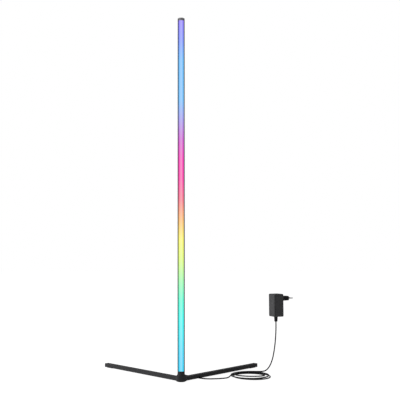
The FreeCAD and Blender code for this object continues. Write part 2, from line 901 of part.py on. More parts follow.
def case_blank(inset, corner, edge):
    """The case's form: a box with round uprights and softened edges."""
    half_l = case_length / 2 - inset
    half_w = case_width / 2 - inset
    block = box(-half_l, half_l, -half_w, half_w, adapter_bottom + inset, adapter_top - inset)
    uprights = [e for e in block.Edges if e.BoundBox.ZLength > 1]
    block = block.makeFillet(corner, uprights)
    if edge:
        rims = [e for e in block.Edges if e.BoundBox.ZLength < 0.01]
        block = block.makeFillet(edge, rims)
    return block


def case_shell():
    outer = case_blank(0, case_corner_round, case_edge_round)
    return outer.cut(case_blank(case_wall, case_corner_round - case_wall, 0))


def seam_half(x0, x1):
    return box(x0, x1, -case_width, case_width, adapter_bottom - 1, adapter_top + 1)


def seam_lip(gap):
    """The thin rim of the back half that enters the front half."""
    inset = case_wall - case_lip_wall + gap
    ring = case_blank(inset, case_corner_round - inset, 0)
    ring = ring.cut(case_blank(case_wall, case_corner_round - case_wall, 0))
    return ring.common(seam_half(case_seam - 1, case_seam + case_lip_depth + gap))


def adapter_case_back():
    body = case_shell().common(seam_half(-case_length, case_seam))
    outside = case_blank(0, case_corner_round, case_edge_round)
    core = case_blank(case_groove_depth, case_corner_round - case_groove_depth,
                      case_edge_round - case_groove_depth)
    half = case_groove_width / 2
    body = body.cut(outside.cut(core).common(seam_half(case_groove_x - half, case_groove_x + half)))
    return body.fuse(seam_lip(running_gap).common(
        seam_half(case_seam - 1, case_seam + case_lip_depth))).removeSplitter()


def adapter_case_front():
    body = case_shell().common(seam_half(case_seam, case_length))
    rebate = seam_lip(0).common(seam_half(case_seam, case_seam + case_lip_depth + running_gap))
    return body.cut(rebate)


def plug_block():
    """The tapered nose that carries the pins."""
    start = Vector(case_length / 2, 0, plug_axis_z)
    end = start + Vector(plug_block_length, 0, 0)
    wide = rounded_wire(plug_block_width, plug_block_height, plug_block_round, start)
    nose = rounded_wire(plug_nose_width, plug_nose_height, plug_block_round, end)
    block = Part.makeLoft([wide, nose], True, True)
    outer = [e for e in block.Edges if e.BoundBox.XMin > end.x - 0.01]
    block = block.makeFillet(plug_nose_edge, outer)
    for side in (-1, 1):
        block = block.cut(Part.makeCylinder(pin_root_radius + thread_gap, pin_root + 1,
                                            end + Vector(-pin_root, side * pin_spacing / 2, 0),
                                            Vector(1, 0, 0)))
    return block


def plug_pins():
    """Two round pins with domed tips."""
    pins = []
    start = case_length / 2 + plug_block_length - pin_root
    length = pin_root + pin_length
    r = pin_radius
    tip = length - 1.2
    outline = [(0, 0), (pin_root_radius, 0), (pin_root_radius, pin_root), (r, pin_root), (r, tip),
               (r * 0.87, length - 0.55), (r * 0.55, length - 0.12), (0, length)]
    for side in (-1, 1):
        place = Vector(start, side * pin_spacing / 2, plug_axis_z)
        points = [place + Vector(h, q, 0) for q, h in outline]
        face = Part.Face(Part.makePolygon(points + [points[0]]))
        pins.append(face.revolve(place, Vector(1, 0, 0), 360))
    return group(pins)


def adapter_boot():
    """The strain relief under the case: a round shoulder and a taper with three rings."""
    low = adapter_boot_low_radius
    side = adapter_boot_shoulder_radius
    tall = adapter_boot_shoulder
    top = adapter_boot_top_radius
    length = adapter_boot_length
    deep = adapter_ring_depth
    outline = [(0, 0)]
    for degrees in range(0, 91, 15):
        a = math.radians(degrees)
        outline.append((low + (side - low) * math.sin(a), tall * (1 - math.cos(a))))
    for i in range(adapter_rings):
        start = adapter_ring_first + i * adapter_ring_pitch
        here = side + (top - side) * (start - tall) / (length - tall)
        outline += [(here, start), (here - deep, start + deep),
                    (here - deep, start + 2 * deep), (here, start + 3 * deep)]
    outline += [(top, length), (0, length)]
    place = Vector(adapter_boot_x, 0, adapter_bottom - length)
    return spun(outline, place, Vector(0, 0, 1))


def adapter_board():
    """The circuit board, edge to edge in the back half."""
    half = case_width / 2 - case_wall - seat_gap
    low = adapter_bottom + case_wall + seat_gap
    return box(adapter_board_x, adapter_board_x + adapter_board_thick, -half, half,
               low, low + adapter_board_height)


def adapter_transformer():
    length, width, height = coil_core_size
    x0 = adapter_board_x + adapter_board_thick
    z0 = adapter_bottom + case_wall + coil_core_above
    core = box(x0, x0 + length, -width / 2, width / 2, z0, z0 + height)
    frame = coil_core_frame
    window = box(x0 + frame, x0 + length + 1, -width / 2 + frame, width / 2 - frame,
                 z0 - 1, z0 + frame)
    return core.cut(window).cut(moved(window, 0, 0, height - frame + 1))


def adapter_capacitors():
    x0 = adapter_board_x + adapter_board_thick
    z = adapter_bottom + case_wall + capacitor_above
    return group([Part.makeCylinder(capacitor_radius, capacitor_length,
                                    Vector(x0, side * capacitor_spacing / 2, z), Vector(1, 0, 0))
                  for side in (-1, 1)])


# ---------------------------------------------------------------- all pieces


def main():
    os.makedirs("parts", exist_ok=True)
    right, left = leg_sides
    export("pole_profile", pole_profile())
    export("diffuser", diffuser())
    export("top_cap", top_cap())
    export("led_strip", light_strip())
    export("leds", lights())
    export("pole_insert", pole_insert())
    export("hub", hub())
    export("base_cover", base_cover())
    export("cover_screws", cover_screws())
    export("pole_screws", pole_screws())
    export("hub_pad", hub_pad())
    export("right_leg", turned(leg(True), right))
    export("left_leg", turned(leg(False), left))
    export("leg_screws", leg_screws())
    export("right_end_cap", turned(end_cap(), right))
    export("left_end_cap", turned(end_cap(), left))
    export("right_leg_pad", turned(leg_pad(), right))
    export("left_leg_pad", turned(leg_pad(), left))
    export("board_tape", board_tape())
    export("controller_board", controller_board())
    export("board_chips", board_chips())
    export("supply_wires", supply_wires())
    export("strip_wires", strip_wires())
    export("power_jack", power_jack())
    export("plug_barrel", plug_barrel())
    export("plug_grip", plug_grip())
    export("plug_boot", plug_boot())
    export("cord_run", cord_run())
    export("cord_coil", cord_coil())
    export("cord_rise", cord_rise())
    export("adapter_case_back", placed(adapter_case_back()))
    export("adapter_case_front", placed(adapter_case_front()))
    export("plug_block", placed(plug_block()))
    export("plug_pins", placed(plug_pins()))
    export("adapter_boot", placed(adapter_boot()))
    export("adapter_board", placed(adapter_board()))
    export("adapter_transformer", placed(adapter_transformer()))
    export("adapter_capacitors", placed(adapter_capacitors()))


main()
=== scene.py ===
# %% [markdown]
# # A corner floor lamp
#
# The lamp is a thin black light pole on a small hub, with two flat legs that
# run back along the walls of a corner. A low-voltage lead lies in a loose coil
# beside it and ends in a plug-in adapter. The construction is already there at
# its real size, so this lesson only adds what a drawing can't hold: finishes,
# the glow, the soft lead and its strain reliefs, the floor, light and camera.

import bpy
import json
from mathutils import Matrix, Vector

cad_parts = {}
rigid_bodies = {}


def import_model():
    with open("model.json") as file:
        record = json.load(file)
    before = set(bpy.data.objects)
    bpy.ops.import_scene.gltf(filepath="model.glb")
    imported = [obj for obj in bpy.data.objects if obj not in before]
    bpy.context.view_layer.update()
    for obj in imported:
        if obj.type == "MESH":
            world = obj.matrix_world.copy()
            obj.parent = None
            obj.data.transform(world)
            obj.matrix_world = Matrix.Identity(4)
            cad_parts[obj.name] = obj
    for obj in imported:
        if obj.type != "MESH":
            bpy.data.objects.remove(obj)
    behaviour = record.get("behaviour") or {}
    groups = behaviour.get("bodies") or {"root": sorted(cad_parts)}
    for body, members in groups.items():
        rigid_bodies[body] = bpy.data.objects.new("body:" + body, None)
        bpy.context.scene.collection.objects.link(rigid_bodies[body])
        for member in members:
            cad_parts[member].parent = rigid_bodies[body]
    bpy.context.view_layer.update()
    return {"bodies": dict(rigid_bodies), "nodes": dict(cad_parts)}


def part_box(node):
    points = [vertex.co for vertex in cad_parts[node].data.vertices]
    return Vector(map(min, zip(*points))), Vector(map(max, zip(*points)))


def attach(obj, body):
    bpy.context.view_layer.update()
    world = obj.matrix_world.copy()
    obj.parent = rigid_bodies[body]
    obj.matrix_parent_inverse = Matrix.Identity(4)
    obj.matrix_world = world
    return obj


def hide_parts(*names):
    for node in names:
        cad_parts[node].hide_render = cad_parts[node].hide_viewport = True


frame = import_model()

# %% Modules
import json
import math

import bpy
import numpy as np
from mathutils import Vector

MM = 0.001
nodes = frame["nodes"]
BODY = next(iter(frame["bodies"]))


def node_box(name):
    """Lowest and highest corner of a piece of the construction, as two arrays."""
    low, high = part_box(name)
    return np.array(low), np.array(high)


light_low, light_high = node_box("diffuser")
print("the lit strip runs from", round(float(light_low[2]), 4), "to", round(float(light_high[2]), 4))

# %% [markdown]
# ## The camera
#
# Both legs end at the same height in the picture, so the camera stands right
# in front of the pole and looks along its middle plane. It is about half a
# metre above the floor, two and a half metres away, and tilted up a little.
# A small sideways shift of the sensor, not a turn, puts the pole left of the
# middle, because a turn would lower one leg.

# %% Camera
CAMERA_DISTANCE = 2.5
CAMERA_HEIGHT = 0.4782
CAMERA_PITCH = math.radians(4.712)
CAMERA_LENS = 58.73
CAMERA_SHIFT = 0.0471

camera_data = bpy.data.cameras.new("camera")
camera_data.lens = CAMERA_LENS
camera_data.sensor_width = 36.0
camera_data.shift_x = CAMERA_SHIFT
camera = bpy.data.objects.new("camera", camera_data)
camera.location = (0.0, -CAMERA_DISTANCE, CAMERA_HEIGHT)
camera.rotation_euler = (math.pi / 2 + CAMERA_PITCH, 0.0, 0.0)
bpy.context.scene.collection.objects.link(camera)
bpy.context.scene.camera = camera
print("camera", round(camera.location.y, 2), "m in front and", camera.location.z, "m up")

# %% [markdown]
# ## Floor and surroundings
#
# The floor is one big pale sheet. What the camera and reflections see of it is
# lifted to white through Light Path, while the lamp itself is lit by plain
# lamps only. A share of the real shading is added, so contact shadows remain.

# %% Floor and world
FLOOR_SIZE = 30.0
FLOOR_COLOUR = (0.86, 0.86, 0.87, 1.0)
FLOOR_LIFT = 0.93
SHADOW_SHARE = 0.42

floor_mesh = bpy.data.meshes.new("floor")
half = FLOOR_SIZE / 2
floor_mesh.from_pydata([(-half, -half, 0), (half, -half, 0), (half, half, 0), (-half, half, 0)],
                       [], [(0, 1, 2, 3)])
floor = bpy.data.objects.new("floor", floor_mesh)
bpy.context.scene.collection.objects.link(floor)


def seen_by_eye(tree):
    """One where the ray comes from the camera, a reflection or glass, else zero."""
    path = tree.nodes.new("ShaderNodeLightPath")
    first = tree.nodes.new("ShaderNodeMath")
    first.operation = "MAXIMUM"
    tree.links.new(path.outputs["Is Camera Ray"], first.inputs[0])
    tree.links.new(path.outputs["Is Glossy Ray"], first.inputs[1])
    both = tree.nodes.new("ShaderNodeMath")
    both.operation = "MAXIMUM"
    tree.links.new(first.outputs[0], both.inputs[0])
    tree.links.new(path.outputs["Is Transmission Ray"], both.inputs[1])
    return both.outputs[0]


def floor_finish():
    """Matt sheet: plain diffuse for light, some white plus part of it for the eye."""
    material = bpy.data.materials.new("pale_floor")
    material.use_nodes = True
    tree = material.node_tree
    tree.nodes.clear()
    output = tree.nodes.new("ShaderNodeOutputMaterial")
    matt = tree.nodes.new("ShaderNodeBsdfDiffuse")
    matt.inputs["Color"].default_value = FLOOR_COLOUR
    white = tree.nodes.new("ShaderNodeEmission")
    white.inputs["Color"].default_value = (1, 1, 1, 1)
    white.inputs["Strength"].default_value = FLOOR_LIFT
    part = tree.nodes.new("ShaderNodeBsdfDiffuse")
    part.inputs["Color"].default_value = [c * SHADOW_SHARE for c in FLOOR_COLOUR[:3]] + [1.0]
    eye_mix = tree.nodes.new("ShaderNodeAddShader")
    tree.links.new(part.outputs[0], eye_mix.inputs[0])
    tree.links.new(white.outputs[0], eye_mix.inputs[1])
    choose = tree.nodes.new("ShaderNodeMixShader")
    tree.links.new(seen_by_eye(tree), choose.inputs[0])
    tree.links.new(matt.outputs[0], choose.inputs[1])
    tree.links.new(eye_mix.outputs[0], choose.inputs[2])
    tree.links.new(choose.outputs[0], output.inputs["Surface"])
    return material


floor_mesh.materials.append(floor_finish())

WORLD_LIGHT = 0.30
world = bpy.data.worlds.new("studio")
world.use_nodes = True
bpy.context.scene.world = world
world_tree = world.node_tree
world_tree.nodes.clear()
world_out = world_tree.nodes.new("ShaderNodeOutputWorld")
soft_light = world_tree.nodes.new("ShaderNodeBackground")
soft_light.inputs["Strength"].default_value = WORLD_LIGHT
plain_white = world_tree.nodes.new("ShaderNodeBackground")
plain_white.inputs["Color"].default_value = (1, 1, 1, 1)
plain_white.inputs["Strength"].default_value = 1.0
world_mix = world_tree.nodes.new("ShaderNodeMixShader")
world_tree.links.new(seen_by_eye(world_tree), world_mix.inputs[0])
world_tree.links.new(soft_light.outputs[0], world_mix.inputs[1])
world_tree.links.new(plain_white.outputs[0], world_mix.inputs[2])
world_tree.links.new(world_mix.outputs[0], world_out.inputs["Surface"])
bpy.context.scene.view_settings.view_transform = "Standard"
print("floor", FLOOR_SIZE, "m, world light", WORLD_LIGHT)

# %% [markdown]
# ## Lamps
#
# The left faces of the hub, legs and adapter are about twice as bright as the
# right ones, and their tops are dark. So the main light is a low, wide panel
# far to the left, level with the pole, where it misses every right face. A
# weak one in front keeps those faces alive.

# %% Light panels


def light_panel(name, place, target, size, power):
    """A square area light at a place, turned towards a target."""
    data = bpy.data.lights.new(name, "AREA")
    data.shape = "SQUARE"
    data.size = size
    data.energy = power
    panel = bpy.data.objects.new(name, data)
    panel.location = place
    aim = Vector(target) - Vector(place)
    panel.rotation_euler = aim.to_track_quat("-Z", "Y").to_euler()
    bpy.context.scene.collection.objects.link(panel)
    return panel


LIGHTS = {
    "main_panel": ((-3.4, 0.1, 0.85), (0.1, 0.1, 0.3), 1.4, 105.0),
    "weak_panel": ((1.0, -3.2, 0.9), (0.1, 0.1, 0.3), 1.6, 15.0),
}
for name, (place, target, size, power) in LIGHTS.items():
    light_panel(name, place, target, size, power)
print("light panels:", ", ".join(LIGHTS))

# %% [markdown]
# ## Helpers for finishes
#
# Every finish is a Principled shader whose colour, roughness and bump come
# from small noises on Object coordinates, which are metres on the real piece.
# So a grain of 0.4 mm is written as a noise scale of 1 / 0.4 mm.

# %% Finish helpers


def new_finish(name, roughness, specular=0.5, metallic=0.0):
    """An empty finish: its material, node tree, Principled shader and coordinates."""
    material = bpy.data.materials.new(name)
    material.use_nodes = True
    tree = material.node_tree
    shader = tree.nodes["Principled BSDF"]
    shader.inputs["Roughness"].default_value = roughness
    shader.inputs["Specular IOR Level"].default_value = specular
    shader.inputs["Metallic"].default_value = metallic
    coordinates = tree.nodes.new("ShaderNodeTexCoord")
    return material, tree, shader, coordinates.outputs["Object"]


def noise(tree, vector, grain_mm, detail=3.0, stretch=(1, 1, 1)):
    """A noise whose spots are about grain_mm wide, drawn out along an axis if stretched."""
    mapping = tree.nodes.new("ShaderNodeMapping")
    mapping.inputs["Scale"].default_value = [1 / s for s in stretch]
    tree.links.new(vector, mapping.inputs["Vector"])
    texture = tree.nodes.new("ShaderNodeTexNoise")
    texture.inputs["Scale"].default_value = 1 / (grain_mm * MM)
    texture.inputs["Detail"].default_value = detail
    tree.links.new(mapping.outputs[0], texture.inputs["Vector"])
    return texture.outputs["Fac"]


def spread(tree, value, low, high, start=0.3, end=0.7):
    """Maps the middle of a noise onto a range of values."""
    ranger = tree.nodes.new("ShaderNodeMapRange")
    ranger.inputs["From Min"].default_value = start
    ranger.inputs["From Max"].default_value = end
    ranger.inputs["To Min"].default_value = low
    ranger.inputs["To Max"].default_value = high
    tree.links.new(value, ranger.inputs["Value"])
    return ranger.outputs["Result"]


def two_tone(tree, value, dark, light, start=0.35, end=0.65):
    """A colour between two tones, chosen by a value."""
    ramp = tree.nodes.new("ShaderNodeValToRGB")
    ramp.color_ramp.elements[0].position = start
    ramp.color_ramp.elements[0].color = (*dark, 1)
    ramp.color_ramp.elements[1].position = end
    ramp.color_ramp.elements[1].color = (*light, 1)
    tree.links.new(value, ramp.inputs["Fac"])
    return ramp.outputs["Color"]


def bump(tree, shader, height, depth_mm, before=None):
    """Raises the surface by up to depth_mm where the height is one."""
    node = tree.nodes.new("ShaderNodeBump")
    node.inputs["Strength"].default_value = 1.0
    node.inputs["Distance"].default_value = depth_mm * MM
    tree.links.new(height, node.inputs["Height"])
    if before is not None:
        tree.links.new(before, node.inputs["Normal"])
    tree.links.new(node.outputs[0], shader.inputs["Normal"])
    return node.outputs[0]


print("finish helpers ready")

# %% [markdown]
# ## Black finishes
#
# The hub and legs carry a fine powder coat: a matt black film with a slight
# orange-peel grain. The extrusion is anodised and keeps faint draw lines along
# its length. The caps are moulded plastic with an etched grain; the top cap is
# black, with a painted highlight in grey across its middle.

# %% Powder coat, anodised extrusion and moulded plastic


def powder_coat(name, dark, light, roughness=0.72):
    material, tree, shader, place = new_finish(name, roughness, specular=0.08)
    patches = noise(tree, place, 9.0, detail=4)
    grain = noise(tree, place, 0.45, detail=2)
    tree.links.new(two_tone(tree, patches, dark, light), shader.inputs["Base Color"])
    tree.links.new(spread(tree, grain, roughness - 0.08, roughness + 0.10), shader.inputs["Roughness"])
    bump(tree, shader, grain, 0.02)
    return material


def drawn_aluminium(name, dark, light, roughness=0.68):
    material, tree, shader, place = new_finish(name, roughness, specular=0.05)
    lines = noise(tree, place, 0.25, detail=3, stretch=(1, 1, 60))
    patches = noise(tree, place, 30.0, detail=2, stretch=(1, 1, 4))
    tree.links.new(two_tone(tree, patches, dark, light), shader.inputs["Base Color"])
    tree.links.new(spread(tree, lines, roughness - 0.10, roughness + 0.12), shader.inputs["Roughness"])
    bump(tree, shader, lines, 0.008)
    return material


def moulded_plastic(name, dark, light, roughness=0.62, grain_mm=0.5, depth_mm=0.02):
    material, tree, shader, place = new_finish(name, roughness, specular=0.08)
    etched = noise(tree, place, grain_mm, detail=4)
    cloud = noise(tree, place, 14.0, detail=3)
    tree.links.new(two_tone(tree, cloud, dark, light), shader.inputs["Base Color"])
    tree.links.new(spread(tree, etched, roughness - 0.07, roughness + 0.09), shader.inputs["Roughness"])
    bump(tree, shader, etched, depth_mm)
    return material


def cap_with_painted_highlight(name, dark, light, half_mm):
    """Black moulded plastic with a painted highlight: grey up to half_mm from the middle plane, black
    beyond.
    """
    material = moulded_plastic(name, light, tuple(c * 1.15 for c in light))
    tree = material.node_tree
    shader = tree.nodes["Principled BSDF"]
    grey = shader.inputs["Base Color"].links[0].from_socket
    place = tree.nodes["Texture Coordinate"].outputs["Object"]
    split = tree.nodes.new("ShaderNodeSeparateXYZ")
    tree.links.new(place, split.inputs[0])
    aside = tree.nodes.new("ShaderNodeMath")
    aside.operation = "ABSOLUTE"
    tree.links.new(split.outputs["X"], aside.inputs[0])
    rim = spread(tree, aside.outputs[0], 0.0, 1.0, (half_mm - 0.3) * MM, (half_mm + 0.3) * MM)
    mix = tree.nodes.new("ShaderNodeMix")
    mix.data_type = "RGBA"
    mix.inputs["B"].default_value = (*dark, 1)
    tree.links.new(rim, mix.inputs["Factor"])
    tree.links.new(grey, mix.inputs["A"])
    tree.links.new(mix.outputs["Result"], shader.inputs["Base Color"])
    return material


black_coat = powder_coat("black_powder_coat", (0.033, 0.033, 0.035), (0.041, 0.041, 0.043))
black_drawn = drawn_aluminium("black_anodised", (0.008, 0.008, 0.009), (0.013, 0.013, 0.015))
black_moulded = moulded_plastic("black_moulded", (0.020, 0.020, 0.021), (0.027, 0.027, 0.028))
# The top cap is black; its grey middle band is a painted highlight.
CAP_HIGHLIGHT_HALF = 10.0
cap_highlight_finish = cap_with_painted_highlight("cap_highlight_finish", (0.012, 0.012, 0.013), (0.28, 0.28, 0.29), CAP_HIGHLIGHT_HALF)
adapter_plastic = moulded_plastic("adapter_plastic", (0.058, 0.058, 0.060), (0.070, 0.070, 0.072),
                                  roughness=0.6, grain_mm=0.6, depth_mm=0.03)
# The plug block gets a darker copy of the adapter plastic: painted shade for its faces turned away from
# the main light.
plug_painted_shade = moulded_plastic("plug_painted_shade", (0.010, 0.010, 0.011), (0.014, 0.014, 0.015),
                               roughness=0.66)
print("black finishes:", black_coat.name, black_drawn.name, black_moulded.name)

# %% [markdown]
# ## The glow
#
# The strip behind the milky cover fades through a rainbow from the floor to
# the cap. The colours are named stops along the height. The lights sit
# on the centre line, so the cover is palest there and deepest at its edges:
# the same ramp is mixed with white by the distance from the centre line.

# %% Glow of the milky cover
RAINBOW = [
    (0.00, "deep cyan", (0.26, 0.85, 0.99)),
    (0.04, "sky cyan", (0.36, 0.86, 1.00)),
    (0.14, "bright aqua", (0.31, 0.99, 0.97)),
    (0.195, "mint", (0.41, 1.00, 0.86)),
    (0.25, "pale green", (0.67, 1.00, 0.72)),
    (0.31, "lime", (0.90, 1.00, 0.53)),
    (0.365, "lemon", (1.00, 0.98, 0.48)),
    (0.42, "apricot", (1.00, 0.77, 0.49)),
    (0.477, "salmon", (0.98, 0.51, 0.58)),
    (0.535, "rose", (1.00, 0.33, 0.69)),
    (0.59, "hot pink", (0.99, 0.30, 0.74)),
    (0.65, "orchid", (0.84, 0.42, 0.84)),
    (0.707, "lavender", (0.67, 0.63, 0.94)),
    (0.765, "light blue", (0.50, 0.78, 1.00)),
    (0.88, "sky", (0.47, 0.77, 1.00)),
    (0.94, "periwinkle", (0.54, 0.62, 1.00)),
    (1.00, "violet", (0.61, 0.54, 1.00)),
]
CORE_WHITE = 0.25       # share of white on the centre line
CORE_HALF = 1.0         # half width of the palest core, in mm
EDGE_HALF = 6.0         # half width where the colour is full, in mm
GLOW_STRENGTH = 0.98


def linear(channel):
    """A screen value from 0 to 1 as light: ((c + 0.055) / 1.055) to the power 2.4."""
    return channel / 12.92 if channel <= 0.04045 else ((channel + 0.055) / 1.055) ** 2.4


def glow_finish():
    material, tree, shader, place = new_finish("rainbow_glow", 0.5, specular=0.05)
    split = tree.nodes.new("ShaderNodeSeparateXYZ")
    tree.links.new(place, split.inputs[0])
    height = spread(tree, split.outputs["Z"], 0.0, 1.0, float(light_low[2]), float(light_high[2]))
    ramp = tree.nodes.new("ShaderNodeValToRGB")
    stops = ramp.color_ramp.elements
    while len(stops) < len(RAINBOW):
        stops.new(0.5)
    for stop, (position, _, colour) in zip(stops, RAINBOW):
        stop.position = position
        stop.color = (*[linear(c) for c in colour], 1)
    tree.links.new(height, ramp.inputs["Fac"])
    aside = tree.nodes.new("ShaderNodeMath")
    aside.operation = "ABSOLUTE"
    tree.links.new(split.outputs["X"], aside.inputs[0])
    core = spread(tree, aside.outputs[0], CORE_WHITE, 0.0, CORE_HALF * MM, EDGE_HALF * MM)
    pale = tree.nodes.new("ShaderNodeMix")
    pale.data_type = "RGBA"
    pale.inputs["B"].default_value = (1, 1, 1, 1)
    tree.links.new(core, pale.inputs["Factor"])
    tree.links.new(ramp.outputs["Color"], pale.inputs["A"])
    tree.links.new(pale.outputs["Result"], shader.inputs["Emission Color"])
    shader.inputs["Emission Strength"].default_value = GLOW_STRENGTH
    haze = noise(tree, place, 0.8, detail=3)
    tree.links.new(two_tone(tree, haze, (0.010, 0.010, 0.010), (0.016, 0.016, 0.016)),
                   shader.inputs["Base Color"])
    bump(tree, shader, haze, 0.01)
    return material


glow = glow_finish()
print("stops in the rainbow:", ", ".join(name for _, name, _ in RAINBOW))

# %% [markdown]
# ## Rubber, metal and inner pieces
#
# The pads and mouldings on the lead are soft and slightly rough. The pins are
# nickel, the screws zinc. The boards, tape and wires are hidden, but they get
# their own finishes, so that an opened lamp looks right too.

# %% Other finishes


def soft_rubber(name, tone, roughness=0.62, grain_mm=0.35):
    material, tree, shader, place = new_finish(name, roughness, specular=0.06)
    grain = noise(tree, place, grain_mm, detail=3)
    cloud = noise(tree, place, 7.0, detail=2)
    lighter = tuple(c * 1.5 for c in tone)
    tree.links.new(two_tone(tree, cloud, tone, lighter), shader.inputs["Base Color"])
    tree.links.new(spread(tree, grain, roughness - 0.1, roughness + 0.1), shader.inputs["Roughness"])
    bump(tree, shader, grain, 0.015)
    return material


def plated_metal(name, tone, roughness, grain_mm=0.3):
    material, tree, shader, place = new_finish(name, roughness, metallic=1.0)
    haze = noise(tree, place, grain_mm, detail=4)
    stain = noise(tree, place, 4.0, detail=2)
    darker = tuple(c * 0.8 for c in tone)
    tree.links.new(two_tone(tree, stain, darker, tone), shader.inputs["Base Color"])
    tree.links.new(spread(tree, haze, roughness - 0.06, roughness + 0.1), shader.inputs["Roughness"])
    bump(tree, shader, haze, 0.004)
    return material


def lacquered(name, dark, light, roughness=0.35, grain_mm=1.2):
    material, tree, shader, place = new_finish(name, roughness)
    weave = noise(tree, place, grain_mm, detail=5)
    tree.links.new(two_tone(tree, weave, dark, light), shader.inputs["Base Color"])
    tree.links.new(spread(tree, weave, roughness - 0.05, roughness + 0.1), shader.inputs["Roughness"])
    bump(tree, shader, weave, 0.01)
    return material


pad_rubber = soft_rubber("pad_rubber", (0.016, 0.016, 0.016), roughness=0.75)
soft_moulding = soft_rubber("soft_moulding", (0.016, 0.016, 0.017), roughness=0.6)
nickel = plated_metal("nickel_pins", (0.12, 0.118, 0.115), 0.40)
zinc = plated_metal("zinc_screws", (0.55, 0.56, 0.58), 0.35)
cast = plated_metal("cast_zinc", (0.42, 0.42, 0.44), 0.5, grain_mm=0.8)
green_board = lacquered("board_lacquer", (0.01, 0.08, 0.035), (0.02, 0.14, 0.06))
white_board = lacquered("strip_lacquer", (0.70, 0.70, 0.68), (0.82, 0.82, 0.80))
phosphor = lacquered("phosphor_resin", (0.72, 0.60, 0.16), (0.85, 0.76, 0.30), grain_mm=0.6)
black_resin = lacquered("chip_resin", (0.012, 0.012, 0.012), (0.022, 0.022, 0.022), roughness=0.45)
foam = lacquered("foam_tape", (0.55, 0.55, 0.52), (0.68, 0.68, 0.64), roughness=0.8, grain_mm=0.5)
wire_cover = lacquered("wire_cover", (0.35, 0.02, 0.02), (0.45, 0.04, 0.04), roughness=0.5)
core_tape = lacquered("core_tape", (0.62, 0.45, 0.04), (0.75, 0.58, 0.10), roughness=0.4)
sleeve = lacquered("capacitor_sleeve", (0.01, 0.02, 0.05), (0.02, 0.03, 0.08), roughness=0.3)

FINISHES = {
    "pole_profile": black_drawn, "top_cap": cap_highlight_finish, "diffuser": glow,
    "led_strip": white_board, "leds": phosphor, "pole_insert": cast,
    "hub": black_coat, "base_cover": black_moulded, "cover_screws": zinc,
    "pole_screws": zinc, "hub_pad": pad_rubber, "right_leg": black_coat,
    "left_leg": black_coat, "leg_screws": zinc, "right_end_cap": black_moulded,
    "left_end_cap": black_moulded, "right_leg_pad": pad_rubber, "left_leg_pad": pad_rubber,
    "board_tape": foam, "controller_board": green_board, "board_chips": black_resin,
    "supply_wires": wire_cover, "strip_wires": wire_cover, "power_jack": black_moulded,
    "plug_barrel": nickel, "plug_grip": soft_moulding, "adapter_case_back": adapter_plastic,
    "adapter_case_front": adapter_plastic, "plug_block": plug_painted_shade, "plug_pins": nickel,
    "adapter_board": green_board, "adapter_transformer": core_tape,
    "adapter_capacitors": sleeve,
}


def paint(name, finish):
    """Gives a piece of the construction one finish all over."""
    mesh = nodes[name].data
    mesh.materials.clear()
    mesh.materials.append(finish)


for name, finish in FINISHES.items():
    paint(name, finish)
print("painted", len(FINISHES), "pieces; left for new ones:", sorted(set(nodes) - set(FINISHES)))

# %% [markdown]
# ## The lead
#
# The lead is one cord: from its plug at the back of the hub it turns under
# the right leg, runs along the floor into a loose coil, and rises to the
# adapter. A few listed points carry the free stretches, and the coil's
# turns come from a loop. One smooth curve of order three follows them all.

# %% Route of the lead
CORD_DIAMETER = 4.8
FLOOR_GAP = 0.15
LAYER_GAP = 0.7
FLOOR_LINE = CORD_DIAMETER / 2 + FLOOR_GAP
LAYER_RISE = CORD_DIAMETER + LAYER_GAP
INLET_HEIGHT = 11.1
CORD_START = 51.6

run_points = [
    (0.0, CORD_START, INLET_HEIGHT),
    (0.0, CORD_START + 13.0, INLET_HEIGHT),
    (6.0, CORD_START + 25.4, INLET_HEIGHT - 1.4),
    (17.0, CORD_START + 33.4, 7.4),
    (30.8, CORD_START + 35.0, 4.6),
    (43.6, CORD_START + 29.6, FLOOR_LINE + 0.3),
    (55.8, 68.9, FLOOR_LINE),
    (68.2, 57.3, FLOOR_LINE),
    (80.5, 46.8, FLOOR_LINE),
    (94.5, 39.6, FLOOR_LINE),
    (110.5, 37.0, FLOOR_LINE),
    (128.0, 39.4, FLOOR_LINE),
    (145.5, 43.0, FLOOR_LINE),
    (162.0, 50.0, FLOOR_LINE),
    (174.5, 56.5, FLOOR_LINE),
    (182.5, 67.5, FLOOR_LINE),
    (187.2, 82.6, FLOOR_LINE),
]
rise_points = [
    (290.8, 165.5, 7.95),
    (309.0, 165.0, 7.9),
    (326.0, 161.0, 8.6),
    (339.5, 155.5, 13.5),
    (350.0, 150.5, 26.0),
    (358.0, 147.2, 42.0),
    (363.8, 146.0, 58.5),
    (368.5, 145.4, 78.0),
    (373.0, 145.5, 104.0),
    (376.5, 145.2, 132.0),
    (378.6, 145.4, 160.0),
    (379.65, 145.2, 185.0),
    (379.65, 145.23, 207.0),
]

COIL_CENTRE = (273.0, 77.0)
COIL_HALF = (84.0, 88.0)
COIL_INNER_HALF = (56.0, 40.0)
COIL_SHIFT = (-4.0, 34.0)
COIL_START = 165.0
COIL_END = 90.0
COIL_TURNS = 3 + (COIL_START - COIL_END) / 360.0
POINTS_PER_TURN = 16


def coil_line(turns):
    """Clockwise ellipse turns that shrink inwards and grow out again.

    With u = 1 - |1 - 2 t / T| the half sizes go from outer to inner and back,
    the centre shifts left and back by u times a step, and the height climbs one
    layer by 3 s^2 - 2 s^3 in the half turn about the middle.
    """
    inward = 1 - np.abs(1 - 2 * turns / COIL_TURNS)
    half_x = COIL_HALF[0] + inward * (COIL_INNER_HALF[0] - COIL_HALF[0])
    half_y = COIL_HALF[1] + inward * (COIL_INNER_HALF[1] - COIL_HALF[1])
    angle = np.radians(COIL_START - 360 * turns)
    climb = np.clip((turns - COIL_TURNS / 2) / 0.5 + 0.5, 0, 1)
    rise = climb ** 2 * (3 - 2 * climb)
    return np.column_stack([COIL_CENTRE[0] + inward * COIL_SHIFT[0] + half_x * np.cos(angle),
                            COIL_CENTRE[1] + inward * COIL_SHIFT[1] + half_y * np.sin(angle),
                            FLOOR_LINE + rise * LAYER_RISE])


